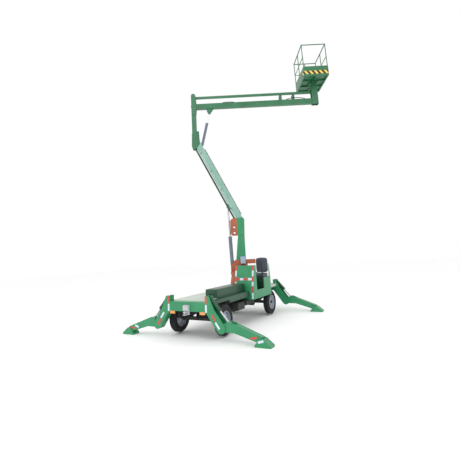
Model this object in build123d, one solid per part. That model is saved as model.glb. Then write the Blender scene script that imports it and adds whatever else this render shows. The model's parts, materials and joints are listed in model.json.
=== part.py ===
from build123d import *
from math import atan2, cos, degrees, hypot, radians, sin
import os

# Towable articulated boom lift standing on four folding outriggers.
# Machine frame while modelling: X forward from the front axle, Y to the left, Z up from the ground.
# The finished pieces are moved so that the origin is the middle of the towing pin bore.

# General fits
RUN_FIT = 0.08
LOOSE_FIT = 0.3
SIDE_GAP = 6.0

# Wheels and axles
WHEELBASE = 2880.0
TRACK = 1300.0
TYRE_RADIUS = 340.0
TYRE_WIDTH = 165.0
TYRE_SHOULDER = 34.0
RIM_RADIUS = 205.0
RIM_WIDTH = 150.0
RIM_WALL = 7.0
BEAD_INSET = 4.0
BEAD_RISE = 30.0
DISH_THICK = 14.0
DISH_DEEP = 26.0
WHEEL_LIFT = 30.0
AXLE_Z = TYRE_RADIUS + WHEEL_LIFT
HUB_RADIUS = 62.0
HUB_LENGTH = 96.0
SPINDLE_RADIUS = 22.0
HUB_CAP_RADIUS = 34.0
HUB_CAP_LENGTH = 30.0
KINGPIN_Y = 520.0
KINGPIN_RADIUS = 14.0
KNUCKLE_RADIUS = 30.0
KNUCKLE_HEIGHT = 70.0
AXLE_HALF_HEIGHT = 40.0
AXLE_HALF_DEPTH = 42.0
AXLE_EAR = 14.0
REAR_TUBE_RADIUS = 44.0
DIFF_RADIUS = 120.0
DIFF_WIDTH = 190.0
SPRING_LENGTH = 760.0
SPRING_WIDTH = 62.0
SPRING_LEAF = 12.0
SPRING_PAD_HALF = 45.0
SPRING_PAD_SIDE = 40.0

# Underframe and deck
RAIL_Y = 300.0
RAIL_WIDTH = 80.0
RAIL_HEIGHT = 158.0
RAIL_WALL = 8.0
BEAM_HEIGHT = 216.0
BEAM_BOTTOM = 629.0
BEAM_TOP = BEAM_BOTTOM + BEAM_HEIGHT
BEAM_DEPTH = 180.0
BEAM_HALF = 514.0
BEAM_WALL = 10.0
FRONT_FACE_X = 571.0
REAR_OVERHANG = 725.0
REAR_FACE_X = -WHEELBASE - REAR_OVERHANG
DECK_SHEET = 8.0
DECK_HALF = 620.0
DECK_SKIRT = 70.0
FENDER_FRONT = -400.0
FENDER_LOW = 700.0
BEARER_WIDTH = 60.0
BEARER_XS = (250.0, -620.0, -1300.0, 980.0 - WHEELBASE, 280.0 - WHEELBASE, -470.0 - WHEELBASE)

# Towing bracket
HITCH_PLATE = 12.0
HITCH_HALF = 80.0
HITCH_BLOCK_DEPTH = 58.0
HITCH_BLOCK_LOW = 655.0
HITCH_BLOCK_HIGH = 765.0
HITCH_EAR = 15.0
HITCH_GAP = 35.0
HITCH_EAR_HALF = 45.0
HITCH_LIP = 10.0
HITCH_BLOCK_INSET = 6.0
HITCH_PIN_RADIUS = 16.0
PIN_X = FRONT_FACE_X + 84.0
PIN_Z = 592.5

# Outriggers, drawn in the Y and Z plane of the left side
OUTRIGGER_CHEEK = 12.0
OUTRIGGER_WEB = 14.0
THIGH_HALF_DEPTH = 111.5
KNEE = (905.0, 300.0)
THIGH_BEND = (753.0, 689.0)
THIGH_TOP = 975.0
THIGH_TOP_WIDTH = 104.0
KNEE_PIN_RADIUS = 20.0
LEG_PLATE = 8.0
LEG_ROOT_RADIUS = 85.0
LEG_HUB_WALL = 65.0
LEG_PEAK = (1095.0, 455.0)
LEG_PEAK_FLAT = 56.0
LEG_END_TOP = (1880.0, 190.0)
LEG_END_BOTTOM = (1840.0, 60.0)
LEG_BELLY = (1230.0, 228.0)
FOOT_INNER = 1700.0
FOOT_OUTER = 2060.0
FOOT_HEIGHT = 165.0
FOOT_WIDTH = 220.0
FOOT_EDGE = 30.0
FOOT_LEAN = 12.0
FOOT_TOP_INNER = 60.0
FOOT_TOP_OUTER = 20.0
LEG_CYL_TOP = (620.0, 930.0)
LEG_CYL_LUG = (1090.0, 400.0)
LEG_CYL_BARREL = 370.0
LEG_CYL_RADIUS = 44.0
LEG_ROD_RADIUS = 21.0
LEG_ROD_LENGTH = 420.0
LEG_SLOT_END = 175.0
LEG_EYE_RADIUS = 38.0
LEG_EYE_WIDTH = 60.0
LEG_EYE_PIN = 14.0

# Slewing mast, drawn in the boom plane: S along the boom, Z up
SLEW_X = 630.0 - WHEELBASE
SLEW_ANGLE = 120.0
PEDESTAL_BASE = 340.0
PEDESTAL_TOP = 265.0
PEDESTAL_Z = 1260.0
RING_RADIUS = 285.0
RING_HEIGHT = 50.0
TURRET_PLATE = 30.0
TURRET_LEFT = -330.0
TURRET_ARM = 500.0
TURRET_TOP = 1700.0
TURRET_ARM_LOW = 1570.0
MAST_WIDTH = 152.0
MAST_WALL = 10.0
MAST_FOOT_LEFT = -140.0
MAST_RIGHT = 205.0
MAST_TOP = 2620.0
MAST_TOP_LEFT = 30.0
HEAD_CHEEK = 14.0
HEAD_LEFT = -215.0
HEAD_RIGHT = 235.0
HEAD_BOTTOM = 2455.0
HEAD_TOP = 3010.0
HEAD_SPLIT = -10.0
HEAD_HOLE_RADIUS = 34.0
HEAD_HOLE_S = -95.0
HEAD_HOLE_ZS = (2538.0, 2716.0)

# Lower boom, riser and their parallel link
BOOM_PIN = 30.0
BOOM_END_WALL = 20.0
P1 = (131.0, 2900.0)
LOWER_ANGLE = 115.7
LOWER_LENGTH = 3042.0
LOWER_DEPTH = 190.0
LOWER_WIDTH = 140.0
LOWER_WALL = 7.0
LOWER_FORK = 460.0
LOWER_FORK_PLATE = 12.0
LINK_OFFSET = (-80.0, -170.0)
LINK_PIN = 16.0
LINK_DEPTH = 50.0
LINK_BAR = 14.0
LINK_HALF = 66.0
LINK_EYE = 30.0
LINK_SLEEVE = 10.0
PIN_STICK_OUT = 8.0
LUG_PLATE = 10.0
LUG_HALF = 44.0
LUG_RADIUS = 48.0
RISER_SETBACK = 64.0
RISER_DEPTH = 155.0
RISER_WIDTH = 152.0
RISER_WALL = 8.0
RISER_CHEEK = 14.0
RISER_TUBE_RISE = 170.0
RISER_HEIGHT = 1265.0
RISER_FOOT_DROP = 270.0
RISER_HEAD_RISE = 465.0

# Upper boom, its link, the basket post
UPPER_LENGTH = 4197.0
UPPER_DEPTH = 180.0
UPPER_WIDTH = 130.0
UPPER_WALL = 6.0
UPPER_LINK_RISE = 335.0
UPPER_LINK_DEPTH = 80.0
UPPER_LINK_WIDTH = 50.0
UPPER_LINK_WALL = 5.0
GUIDE_SS = (1760.0, 2200.0)
GUIDE_PLATE = 8.0
GUIDE_LENGTH = 90.0
GUIDE_HEIGHT = 170.0
POST_CHEEK = 10.0
POST_DEPTH = 212.0
POST_DROP = 120.0
POST_RISE = 640.0
POST_OPEN = 440.0
POST_FLANGE = 24.0
POST_FLANGE_HALF = 150.0

# Lift cylinders of the two booms
CYL_RADIUS = 56.0
CYL_ROD_RADIUS = 28.0
CYL_EYE_RADIUS = 45.0
CYL_EYE_WIDTH = 60.0
CYL_EYE_PIN = 18.0
CYL_GLAND = 40.0
LOWER_CYL_BASE = (-222.0, 1480.0)
LOWER_CYL_LUG = (-398.0, 480.0)
LOWER_CYL_BARREL = 950.0
LOWER_CYL_ROD = 1250.0
UPPER_CYL_RADIUS = 45.0
UPPER_CYL_ROD_RADIUS = 22.0
UPPER_CYL_BASE = (164.0, -181.0)
UPPER_CYL_LUG = (529.0, -235.0)
UPPER_CYL_BARREL = 860.0
UPPER_CYL_ROD = 1020.0

# Basket
BASKET_LENGTH = 1200.0
BASKET_DEPTH = 830.0
BASKET_HEIGHT = 1150.0
BASKET_OFFSET = -30.0
BASKET_TUBE = 17.0
BASKET_SHEET = 4.0
BASKET_FRAME = 50.0
BASKET_KICK = 290.0
BASKET_MID_RAIL = 640.0
BASKET_SIDE_TUBE = 16.0
BASKET_MAT = 4.0
BASKET_MAT_EDGE = 45.0
BASKET_POST = 14.0
BASKET_MIDDLE = 12.0
BEARER_HALF = 20.0

# Driver's stand on the left side
COWL_FRONT = 1334.0 - WHEELBASE
COWL_LEAN = 152.0
COWL_BULGE = 18.0
COWL_BACK = 1080.0 - WHEELBASE
COWL_LOW = 617.0
COWL_HIGH = 1540.0
COWL_INNER = 145.0
CAB_OUTER = 756.0
CAB_SHEET = 6.0
CAB_REAR = 50.0 - WHEELBASE
CAB_WALL_Y = 360.0
CAB_FLOOR = 756.0
SILL_TOP = 850.0
SIDE_TOP = 1150.0
STEP_REAR = 570.0 - WHEELBASE
REAR_TOP = 1540.0
REAR_RAKE = 60.0
SEAT_BASE_FRONT = 520.0 - WHEELBASE
SEAT_TOP = 1270.0
SEAT_THICK = 110.0
SEAT_WIDTH = 370.0
SEAT_LENGTH = 400.0
SEAT_BACK_TOP = 1730.0
SEAT_BACK_THICK = 90.0
SEAT_OVERHANG = 40.0
SEAT_BACK_SET = 24.0
CUSHION_ROUND = 40.0
BACK_ROUND = 55.0
RAIL_TUBE = 19.0
GRAB_POST_TOP = 1580.0
STALK_SETBACK = 130.0
HANDLEBAR_HALF = 130.0
CONSOLE_TOP = 1330.0

# Power pack housing
HOOD_FRONT = -60.0
HOOD_REAR = 1345.0 - WHEELBASE
HOOD_RIGHT = 133.0
HOOD_LEFT = DECK_HALF - 143.0
HOOD_TOP = 1058.0
HOOD_SHEET = 5.0
HOOD_ROUND = 28.0
POWER_BLOCK_GAP = 40.0

# Tanks below the deck
TANK_TOP = 610.0
TANK_DEPTH = 245.0
TANK_ROUND = 22.0
TANKS = ((-1290.0, -900.0, 420.0), (980.0 - WHEELBASE, -1400.0, 480.0))

# Marker lamps below the front beam
LAMP_WIDTH = 145.0
LAMP_HEIGHT = 62.0
LAMP_DEPTH = 36.0
LAMP_Y = 432.0
LAMP_ROUND = 6.0

# Ground control box on the mast
CONTROL_Z = 1690.0
CONTROL_HEIGHT = 210.0
CONTROL_WIDTH = 150.0
CONTROL_DEPTH = 90.0
CONTROL_S = 110.0
CONTROL_ROUND = 10.0


def block(x0, x1, y0, y1, z0, z1):
    """Box between two opposite corners."""
    size = Box(abs(x1 - x0), abs(y1 - y0), abs(z1 - z0))
    return Pos((x0 + x1) / 2, (y0 + y1) / 2, (z0 + z1) / 2) * size


def slab_xz(points, y0, y1):
    """Outline given in X and Z, thick from y0 to y1."""
    face = make_face(Polyline(*[(x, 0, z) for x, z in points], close=True))
    return Pos(0, y0, 0) * extrude(face, amount=y1 - y0, dir=(0, 1, 0))


def slab_yz(points, x0, x1):
    """Outline given in Y and Z, thick from x0 to x1."""
    face = make_face(Polyline(*[(0, y, z) for y, z in points], close=True))
    return Pos(x0, 0, 0) * extrude(face, amount=x1 - x0, dir=(1, 0, 0))


def rod_x(radius, x0, x1, y, z):
    """Round bar along X."""
    return Pos((x0 + x1) / 2, y, z) * Rot(0, 90, 0) * Cylinder(radius, x1 - x0)


def rod_y(radius, y0, y1, x, z):
    """Round bar along Y."""
    return Pos(x, (y0 + y1) / 2, z) * Rot(90, 0, 0) * Cylinder(radius, y1 - y0)


def rod_z(radius, z0, z1, x, y):
    """Round bar along Z."""
    return Pos(x, y, (z0 + z1) / 2) * Cylinder(radius, z1 - z0)


def aim(angle):
    """Turn a piece drawn along +X to the given elevation in the X and Z plane."""
    return Rot(0, -angle, 0)


def bar(length, depth, width, end_radius):
    """Flat bar along +X from its first pin to its second, with rounded ends."""
    body = block(0, length, -width / 2, width / 2, -depth / 2, depth / 2)
    for x in (0, length):
        body += rod_y(end_radius, -width / 2, width / 2, x, 0)
    return body


def mirror_y(shape):
    return mirror(shape, about=Plane.XZ)


def wheel_pieces():
    """Tyre and rim about the origin, axis along Y, outer face towards +Y."""
    half = TYRE_WIDTH / 2
    flat = half - TYRE_SHOULDER
    bead = RIM_WIDTH / 2 - BEAD_INSET
    outline = Polyline((RIM_RADIUS, -bead), (RIM_RADIUS + BEAD_RISE, -half), (TYRE_RADIUS - TYRE_SHOULDER, -half))
    outline += ThreePointArc(
        (TYRE_RADIUS - TYRE_SHOULDER, -half),
        (TYRE_RADIUS - 0.3 * TYRE_SHOULDER, -half + 0.3 * TYRE_SHOULDER),
        (TYRE_RADIUS, -flat),
    )
    outline += Line((TYRE_RADIUS, -flat), (TYRE_RADIUS, flat))
    outline += ThreePointArc(
        (TYRE_RADIUS, flat),
        (TYRE_RADIUS - 0.3 * TYRE_SHOULDER, half - 0.3 * TYRE_SHOULDER),
        (TYRE_RADIUS - TYRE_SHOULDER, half),
    )
    outline += Polyline((TYRE_RADIUS - TYRE_SHOULDER, half), (RIM_RADIUS + BEAD_RISE, half), (RIM_RADIUS, bead))
    outline += Line((RIM_RADIUS, bead), (RIM_RADIUS, -bead))
    tyre = revolve(make_face(outline), Axis.Y)

    lip = RIM_WIDTH / 2
    seat = RIM_RADIUS - LOOSE_FIT
    dish = Polyline(
        (SPINDLE_RADIUS + RUN_FIT, -HUB_LENGTH / 2),
        (HUB_RADIUS, -HUB_LENGTH / 2),
        (HUB_RADIUS, -BEAD_INSET),
        (seat - RIM_WALL - 46, 8),
        (seat - RIM_WALL, -DISH_DEEP),
        (seat - RIM_WALL, -lip),
        (seat, -lip),
        (seat, lip),
        (seat - RIM_WALL, lip),
        (seat - RIM_WALL, -10),
        (seat - RIM_WALL - 44, 22),
        (HUB_RADIUS, DISH_THICK - BEAD_INSET),
        (HUB_RADIUS, HUB_LENGTH / 2),
        (SPINDLE_RADIUS + RUN_FIT, HUB_LENGTH / 2),
        close=True,
    )
    rim = revolve(make_face(dish), Axis.Y)
    return tyre, rim


def front_axle():
    """Axle beam with an ear above and below each knuckle, kingpins and leaf springs."""
    inner = KINGPIN_Y - KNUCKLE_RADIUS - SIDE_GAP
    top = AXLE_Z + AXLE_HALF_HEIGHT
    low = AXLE_Z - AXLE_HALF_HEIGHT
    half = KNUCKLE_HEIGHT / 2 + LOOSE_FIT
    axle = block(-AXLE_HALF_DEPTH, AXLE_HALF_DEPTH, -inner, inner, low, top)
    for side in (-1, 1):
        y = side * KINGPIN_Y
        for base in (AXLE_Z + half, AXLE_Z - half - AXLE_EAR):
            axle += block(-KNUCKLE_RADIUS, KNUCKLE_RADIUS, side * (inner - AXLE_EAR), y, base, base + AXLE_EAR)
            axle += rod_z(KNUCKLE_RADIUS, base, base + AXLE_EAR, 0, y)
        axle += rod_z(KINGPIN_RADIUS, AXLE_Z - half - AXLE_EAR, AXLE_Z + half + AXLE_EAR, 0, y)
    return axle + leaf_springs(0)


def leaf_springs(x):
    """A pack of leaves between the axle and each rail."""
    packs = []
    top = BEAM_BOTTOM - RAIL_HEIGHT
    base = AXLE_Z + AXLE_HALF_HEIGHT
    count = int((top - base) // SPRING_LEAF)
    leaf = (top - base) / count
    for side in (-1, 1):
        y = side * RAIL_Y
        for step in range(count):
            half = SPRING_LENGTH / 2 * (step + 1) / count
            packs.append(block(x - half, x + half, y - SPRING_WIDTH / 2, y + SPRING_WIDTH / 2,
                               base + step * leaf, base + (step + 1) * leaf))
    return packs


def rear_axle():
    """Tube axle with its drive casing, wheel spindles and leaf springs."""
    x = -WHEELBASE
    inner = TRACK / 2 - HUB_LENGTH / 2 - LOOSE_FIT
    axle = rod_y(REAR_TUBE_RADIUS, -inner, inner, x, AXLE_Z)
    axle += rod_y(DIFF_RADIUS, -DIFF_WIDTH / 2, DIFF_WIDTH / 2, x, AXLE_Z)
    out = TRACK / 2 + HUB_LENGTH / 2 + LOOSE_FIT
    axle += rod_y(SPINDLE_RADIUS, -out, out, x, AXLE_Z)
    for side in (-1, 1):
        y = side * RAIL_Y
        axle += block(x - SPRING_PAD_HALF, x + SPRING_PAD_HALF, y - SPRING_PAD_SIDE, y + SPRING_PAD_SIDE, AXLE_Z,
                      AXLE_Z + AXLE_HALF_HEIGHT)
        axle += rod_y(HUB_CAP_RADIUS, *sorted((side * out, side * (out + HUB_CAP_LENGTH))), x, AXLE_Z)
    return axle + leaf_springs(x)


def knuckle():
    """Left steering knuckle with its spindle, kingpin at KINGPIN_Y."""
    half = KNUCKLE_HEIGHT / 2
    out = TRACK / 2 + HUB_LENGTH / 2 + LOOSE_FIT
    boss = rod_z(KNUCKLE_RADIUS, AXLE_Z - half, AXLE_Z + half, 0, KINGPIN_Y)
    boss += rod_y(HUB_CAP_RADIUS, KINGPIN_Y, TRACK / 2 - HUB_LENGTH / 2 - LOOSE_FIT, 0, AXLE_Z)
    boss += rod_y(SPINDLE_RADIUS, KINGPIN_Y, out, 0, AXLE_Z)
    boss += rod_y(HUB_CAP_RADIUS, out, out + HUB_CAP_LENGTH, 0, AXLE_Z)
    return boss - rod_z(KINGPIN_RADIUS + RUN_FIT, AXLE_Z - half, AXLE_Z + half, 0, KINGPIN_Y)


def underframe():
    """Two hollow rails below the beams, from one beam to the other."""
    front = FRONT_FACE_X - BEAM_WALL
    rear = REAR_FACE_X - BEAM_DEPTH + BEAM_WALL
    low = BEAM_BOTTOM - RAIL_HEIGHT
    half = RAIL_WIDTH / 2
    rails = []
    for side in (-1, 1):
        y = side * RAIL_Y
        rail = block(rear, front, y - half, y + half, low, BEAM_BOTTOM)
        rail -= block(rear, front, y - half + RAIL_WALL, y + half - RAIL_WALL, low + RAIL_WALL,
                      BEAM_BOTTOM - RAIL_WALL)
        rails.append(rail)
    return Compound(children=rails)


def cross_bearers():
    """Hollow bearers across the rails that carry the deck."""
    out = RAIL_Y + RAIL_WIDTH / 2
    half = BEARER_WIDTH / 2
    top = BEAM_TOP - DECK_SHEET
    wall = RAIL_WALL
    bearers = []
    for x in BEARER_XS:
        bearer = block(x - half, x + half, -out, out, BEAM_BOTTOM, top)
        bearer -= block(x - half + wall, x + half - wall, -out, out, BEAM_BOTTOM + wall, top - wall)
        bearers.append(bearer)
    return Compound(children=bearers)


def deck():
    """Deck sheet with a turned-down skirt along its outer edges."""
    front = FRONT_FACE_X - BEAM_DEPTH
    rear = REAR_FACE_X
    step = COWL_FRONT
    wall = CAB_WALL_Y
    low = BEAM_TOP - DECK_SHEET
    sheet = block(rear, front, -DECK_HALF, COWL_INNER, low, BEAM_TOP)
    sheet += block(step, front, 0, HOOD_LEFT, low, BEAM_TOP)
    sheet += block(rear, COWL_BACK, 0, wall, low, BEAM_TOP)
    sheet += block(rear, CAB_REAR, 0, DECK_HALF, low, BEAM_TOP)
    skirt = low - DECK_SKIRT
    sheet += block(rear, front, -DECK_HALF, -DECK_HALF + DECK_SHEET, skirt, low)
    sheet += block(rear, CAB_REAR, DECK_HALF - DECK_SHEET, DECK_HALF, skirt, low)
    return sheet


def left_fender():
    """Dark side body between the hood and the outer edge, deeper behind the front wheel."""
    front = FRONT_FACE_X - BEAM_DEPTH
    edge = DECK_HALF - DECK_SHEET
    low = BEAM_TOP - DECK_SHEET
    body = block(COWL_FRONT, front, HOOD_LEFT, DECK_HALF, low, BEAM_TOP)
    body += block(COWL_FRONT, front, edge, DECK_HALF, low - DECK_SKIRT, low)
    body += block(COWL_FRONT, FENDER_FRONT, edge, DECK_HALF, FENDER_LOW, low)
    return body


def thigh_outline():
    """Side outline of the fixed upper part of a left outrigger."""
    ky, kz = KNEE
    by, bz = THIGH_BEND
    reach = hypot(by - ky, bz - kz)
    lean = atan2(bz - kz, by - ky) + atan2(THIGH_HALF_DEPTH, (reach ** 2 - THIGH_HALF_DEPTH ** 2) ** 0.5)
    oy, oz = cos(lean), sin(lean)
    outer_knee = (ky + THIGH_HALF_DEPTH * oz, kz - THIGH_HALF_DEPTH * oy)
    inner_knee = (ky - THIGH_HALF_DEPTH * oz, kz + THIGH_HALF_DEPTH * oy)
    run = (inner_knee[0] - BEAM_HALF) / -oy
    inner_top = (BEAM_HALF, inner_knee[1] + run * oz)
    points = [inner_knee, inner_top, (BEAM_HALF, THIGH_TOP), (BEAM_HALF + THIGH_TOP_WIDTH, THIGH_TOP),
              THIGH_BEND, outer_knee, KNEE]
    return points, (oy, oz), inner_knee, inner_top


def thigh(x_front):
    """Channel-shaped thigh, open to the outside, with the knee pin and the cylinder pin."""
    points, (oy, oz), inner_knee, inner_top = thigh_outline()
    x_back = x_front - BEAM_DEPTH
    ky, kz = KNEE
    solid = slab_yz(points, x_back, x_front)
    solid += rod_x(THIGH_HALF_DEPTH, x_back, x_front, ky, kz)
    shift = OUTRIGGER_WEB
    low = (inner_knee[0] + shift * oz - 400 * oy, inner_knee[1] - shift * oy - 400 * oz)
    high = (inner_top[0] + shift * oz + 20 * oy, inner_top[1] - shift * oy + 20 * oz)
    pocket = [low, high, (BEAM_HALF + OUTRIGGER_WEB, high[1] + 40), (BEAM_HALF + OUTRIGGER_WEB, THIGH_TOP + 50),
              (ky + 400, THIGH_TOP + 50), (ky + 400, low[1])]
    gap = slab_yz(pocket, x_back + OUTRIGGER_CHEEK, x_front - OUTRIGGER_CHEEK)
    solid -= gap
    solid += rod_x(KNEE_PIN_RADIUS, x_back, x_front, ky, kz)
    solid += rod_x(LEG_EYE_PIN, x_back, x_front, *LEG_CYL_TOP)
    return solid


def outrigger_beam(x_front):
    """Cross beam with a thigh welded to each end."""
    x_back = x_front - BEAM_DEPTH
    beam = block(x_back, x_front, -BEAM_HALF, BEAM_HALF, BEAM_BOTTOM, BEAM_TOP)
    wall = BEAM_WALL
    beam -= block(x_back + wall, x_front - wall, -BEAM_HALF + wall, BEAM_HALF - wall,
                  BEAM_BOTTOM + wall, BEAM_TOP - wall)
    left = thigh(x_front)
    return beam + left + mirror_y(left)


def leg_outline():
    """Side outline of the folding lower leg."""
    ky, kz = KNEE
    py, pz = LEG_PEAK
    root = LEG_ROOT_RADIUS
    return [
        (ky, kz - root),
        (ky + root, LEG_BELLY[1]),
        LEG_BELLY,
        LEG_END_BOTTOM,
        LEG_END_TOP,
        (py + LEG_PEAK_FLAT / 2, pz),
        (py - LEG_PEAK_FLAT / 2, pz),
        (ky + 0.6 * root, kz + 0.8 * root),
        (ky, kz + root),
    ]


def leg(x_mid):
    """Hollow tapered leg with its shoe; the ram's eye enters between its side plates."""
    half = BEAM_DEPTH / 2 - OUTRIGGER_CHEEK - SIDE_GAP
    ky, kz = KNEE
    py, pz = LEG_PEAK
    body = slab_yz(leg_outline(), x_mid - half, x_mid + half)
    body += rod_x(LEG_ROOT_RADIUS, x_mid - half, x_mid + half, ky, kz)
    inner = half - LEG_PLATE
    crest = py + LEG_PEAK_FLAT / 2
    slope = (pz - LEG_END_TOP[1]) / (LEG_END_TOP[0] - crest)
    slot_z = pz - (py + LEG_SLOT_END - crest) * slope - LEG_PLATE
    slot = [
        (ky + LEG_HUB_WALL, kz - 30),
        (LEG_BELLY[0], LEG_BELLY[1] + LEG_PLATE),
        (LEG_END_BOTTOM[0] - 60, LEG_END_BOTTOM[1] + 36),
        (LEG_END_TOP[0] - 60, LEG_END_TOP[1] + 12),
        (py + LEG_SLOT_END, slot_z),
        (py + LEG_SLOT_END, pz + 60),
        (ky + LEG_HUB_WALL, pz + 60),
    ]
    body -= slab_yz(slot, x_mid - inner, x_mid + inner)
    body -= rod_x(KNEE_PIN_RADIUS + RUN_FIT, x_mid - half, x_mid + half, ky, kz)
    shoe = [(FOOT_INNER, 0), (FOOT_OUTER, 0), (FOOT_OUTER + FOOT_LEAN, FOOT_EDGE),
            (LEG_END_TOP[0] + FOOT_TOP_OUTER, FOOT_HEIGHT),
            (LEG_END_TOP[0] - FOOT_TOP_INNER, FOOT_HEIGHT), (FOOT_INNER, FOOT_EDGE)]
    body += slab_yz(shoe, x_mid - FOOT_WIDTH / 2, x_mid + FOOT_WIDTH / 2)
    return body


def cylinder_pair(length, barrel, radius, rod, rod_radius, eye, eye_width, ram_eye_width, pin):
    """Barrel and ram along +X from the base pin at the origin to the ram's eye at length."""
    start = eye * 1.6
    neck = eye_width / 2 - 3
    case = rod_x(radius, start, barrel, 0, 0) + rod_x(neck, 0, start, 0, 0)
    case += rod_y(eye, -eye_width / 2, eye_width / 2, 0, 0)
    case += rod_x(radius + 4, barrel - CYL_GLAND, barrel, 0, 0)
    inner = length - rod
    case -= rod_x(rod_radius + LOOSE_FIT, eye * 1.25, barrel, 0, 0)
    case -= rod_y(pin + RUN_FIT, -eye_width / 2, eye_width / 2, 0, 0)
    ram = rod_x(rod_radius, inner, length, 0, 0)
    ram += rod_y(eye, -ram_eye_width / 2, ram_eye_width / 2, length, 0)
    return case, ram


def leg_cylinder(x_mid):
    """Barrel and ram of the left outrigger."""
    (y0, z0), (y1, z1) = LEG_CYL_TOP, LEG_CYL_LUG
    length = hypot(y1 - y0, z1 - z0)
    angle = degrees(atan2(z1 - z0, y1 - y0))
    leg_gap = BEAM_DEPTH - 2 * (OUTRIGGER_CHEEK + SIDE_GAP + LEG_PLATE + LOOSE_FIT)
    pair = cylinder_pair(length, LEG_CYL_BARREL, LEG_CYL_RADIUS, LEG_ROD_LENGTH, LEG_ROD_RADIUS,
                         LEG_EYE_RADIUS, LEG_EYE_WIDTH, leg_gap, LEG_EYE_PIN)
    return [Pos(x_mid, y0, z0) * Rot(0, 0, 90) * aim(angle) * piece for piece in pair]


def hitch():
    """Backing plate, square receiver block and the two ears that take the towing pin."""
    x = FRONT_FACE_X
    top = HITCH_BLOCK_HIGH + HITCH_LIP
    low = PIN_Z - HITCH_GAP / 2 - HITCH_EAR
    body = block(x, x + HITCH_PLATE, -HITCH_HALF, HITCH_HALF, low, top)
    body += block(x, x + HITCH_BLOCK_DEPTH, -HITCH_HALF + HITCH_BLOCK_INSET, HITCH_HALF - HITCH_BLOCK_INSET,
                  HITCH_BLOCK_LOW, HITCH_BLOCK_HIGH)
    for z in (PIN_Z - HITCH_GAP / 2 - HITCH_EAR, PIN_Z + HITCH_GAP / 2):
        body += block(x, PIN_X, -HITCH_EAR_HALF, HITCH_EAR_HALF, z, z + HITCH_EAR)
        body += rod_z(HITCH_EAR_HALF, z, z + HITCH_EAR, PIN_X, 0)
    return body - rod_z(HITCH_PIN_RADIUS, low, PIN_Z + HITCH_GAP / 2 + HITCH_EAR, PIN_X, 0)


def marker_lamps():
    lamps = []
    for side in (-1, 1):
        y = side * LAMP_Y
        lamp = block(FRONT_FACE_X - LAMP_DEPTH, FRONT_FACE_X, y - LAMP_WIDTH / 2, y + LAMP_WIDTH / 2,
                     BEAM_BOTTOM - LAMP_HEIGHT, BEAM_BOTTOM)
        lamps.append(fillet(lamp.edges().filter_by(Axis.X), LAMP_ROUND))
    return Compound(children=lamps)


def tanks():
    """Tanks hung on the left rail."""
    inner = RAIL_Y + RAIL_WIDTH / 2
    bodies = []
    for rear, front, low in TANKS:
        tank = block(rear, front, inner, inner + TANK_DEPTH, low, TANK_TOP)
        bodies.append(fillet(tank.edges().filter_by(Axis.X), TANK_ROUND))
    return Compound(children=bodies)


def cowl():
    """Leaning front cowl of the driver's stand, a sheet box open at the back and below."""
    top_x = COWL_FRONT - COWL_LEAN
    mid = ((COWL_FRONT + top_x) / 2 + COWL_BULGE, (COWL_LOW + COWL_HIGH) / 2)

    def outline(inset):
        front = ThreePointArc(
            (COWL_FRONT - inset, 0, COWL_LOW), (mid[0] - inset, 0, mid[1]), (top_x - inset, 0, COWL_HIGH - inset))
        rest = Polyline((top_x - inset, 0, COWL_HIGH - inset), (COWL_BACK, 0, COWL_HIGH - inset),
                        (COWL_BACK, 0, COWL_LOW), (COWL_FRONT - inset, 0, COWL_LOW))
        return make_face(front + rest)

    skin = Pos(0, COWL_INNER, 0) * extrude(outline(0), amount=CAB_OUTER - COWL_INNER, dir=(0, 1, 0))
    room = Pos(0, COWL_INNER + CAB_SHEET, 0) * extrude(
        outline(CAB_SHEET), amount=CAB_OUTER - COWL_INNER - 2 * CAB_SHEET, dir=(0, 1, 0))
    notch = block(COWL_BACK, COWL_FRONT + COWL_BULGE, COWL_INNER, RAIL_Y + RAIL_WIDTH / 2 + SIDE_GAP, COWL_LOW,
                  BEAM_BOTTOM + LOOSE_FIT)
    return skin - room - notch


def side_panel():
    """Outer side sheet with a low sill at the footwell."""
    front = COWL_BACK
    outline = [(front, COWL_LOW), (CAB_REAR, COWL_LOW), (CAB_REAR, SIDE_TOP), (CAB_REAR + REAR_RAKE, REAR_TOP),
               (CAB_REAR + REAR_RAKE + 30, REAR_TOP), (CAB_REAR + 110, SIDE_TOP), (STEP_REAR, SIDE_TOP),
               (STEP_REAR, SILL_TOP), (front, SILL_TOP)]
    return slab_xz(outline, CAB_OUTER - CAB_SHEET, CAB_OUTER)


def cab_tub():
    """Floor, inner wall, rear wall and seat box of the driver's stand."""
    front = COWL_BACK
    out = CAB_OUTER - CAB_SHEET
    sheet = CAB_SHEET
    tub = block(CAB_REAR, front, CAB_WALL_Y, out, CAB_FLOOR - sheet, CAB_FLOOR)
    tub += block(CAB_REAR, front, CAB_WALL_Y, CAB_WALL_Y + sheet, CAB_FLOOR - sheet, SIDE_TOP)
    tub += block(CAB_REAR, CAB_REAR + sheet, CAB_WALL_Y, out, CAB_FLOOR - sheet, SIDE_TOP)
    seat_rear = CAB_REAR + sheet
    box = block(seat_rear, SEAT_BASE_FRONT, CAB_WALL_Y + sheet, out, CAB_FLOOR, SEAT_TOP - SEAT_THICK)
    box -= block(seat_rear, SEAT_BASE_FRONT - sheet, CAB_WALL_Y + 2 * sheet, out - sheet, CAB_FLOOR,
                 SEAT_TOP - SEAT_THICK - sheet)
    return tub + box


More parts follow.
